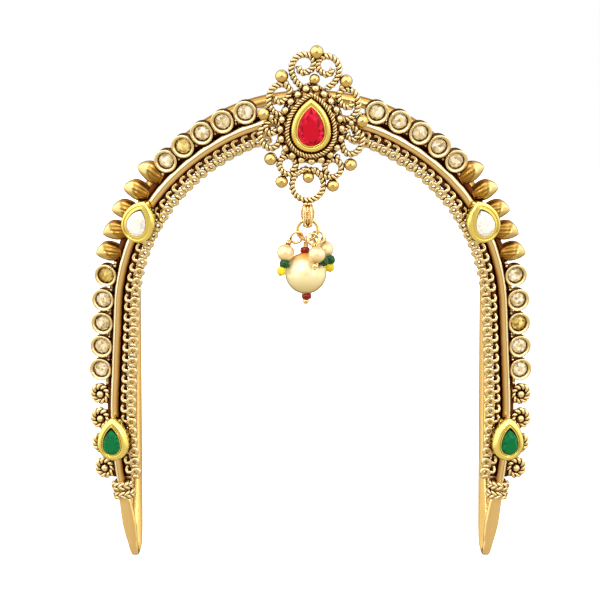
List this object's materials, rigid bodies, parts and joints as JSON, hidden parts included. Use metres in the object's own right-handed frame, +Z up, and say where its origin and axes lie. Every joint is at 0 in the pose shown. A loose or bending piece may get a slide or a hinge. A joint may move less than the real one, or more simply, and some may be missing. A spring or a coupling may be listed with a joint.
{
  "type": "upper arm ornament",
  "caption": "Upper-arm ornament: a jewelled front bow and a plain back strap joined at their tips, with stone cups, teardrop settings, a filigree crest and a hanging pearl drop.",
  "frame": {"origin": "middle of the arm opening, between the two leg tips and level with their lowest points", "axes": "+Z up along the arm's way through, towards the crests; -Y out of the decorated front; +X to the viewer's right in the picture"},
  "size_m": [0.0878, 0.0721, 0.1015],
  "materials": {
    "antique_gold": "antique gold, brown in its recesses, polished on its edges",
    "polished_gold": "polished pale gold",
    "foil_gold": "bright burnished foil gold",
    "polki": "foil-backed faceted stone",
    "ruby": "faceted red stone",
    "emerald": "faceted green stone",
    "crystal": "faceted colourless stone",
    "pearl": "glossy cream pearl"
  },
  "bodies": {
    "armlet": {"front_bow": "antique_gold", "back_strap": "polished_gold", "crest": "antique_gold", "grain_plate": "antique_gold", "ruby_setting": "foil_gold", "ruby": "ruby", "left_gallery": "antique_gold", "left_collar": "antique_gold", "left_chain": "antique_gold", "left_crystal_setting": "foil_gold", "left_crystal": "crystal", "left_emerald_setting": "foil_gold", "left_emerald": "emerald", "right_gallery": "antique_gold", "right_collar": "antique_gold", "right_chain": "antique_gold", "right_crystal_setting": "foil_gold", "right_crystal": "crystal", "right_emerald_setting": "foil_gold", "right_emerald": "emerald", "left_polki_1": "polki", "left_polki_2": "polki", "left_polki_3": "polki", "left_polki_4": "polki", "left_polki_5": "polki", "left_polki_6": "polki", "left_polki_7": "polki", "left_polki_8": "polki", "left_polki_9": "polki", "left_polki_10": "polki", "right_polki_1": "polki", "right_polki_2": "polki", "right_polki_3": "polki", "right_polki_4": "polki", "right_polki_5": "polki", "right_polki_6": "polki", "right_polki_7": "polki", "right_polki_8": "polki", "right_polki_9": "polki", "right_polki_10": "polki", "bail": "antique_gold"},
    "drop": {"jump_ring": "antique_gold", "pearl_pin": "antique_gold", "large_pearl": "pearl", "left_small_pin": "antique_gold", "left_small_pearl": "pearl", "front_small_pin": "antique_gold", "front_small_pearl": "pearl", "back_small_pin": "antique_gold", "back_small_pearl": "pearl"}
  },
  "joints": [
    {"name": "drop_swing", "type": "hinge", "parent": "armlet", "child": "drop", "pos_m": [-0.00064, -0.02623, 0.06795], "axis": [1, 0, 0], "range_deg": [-45, 45]}
  ]
}
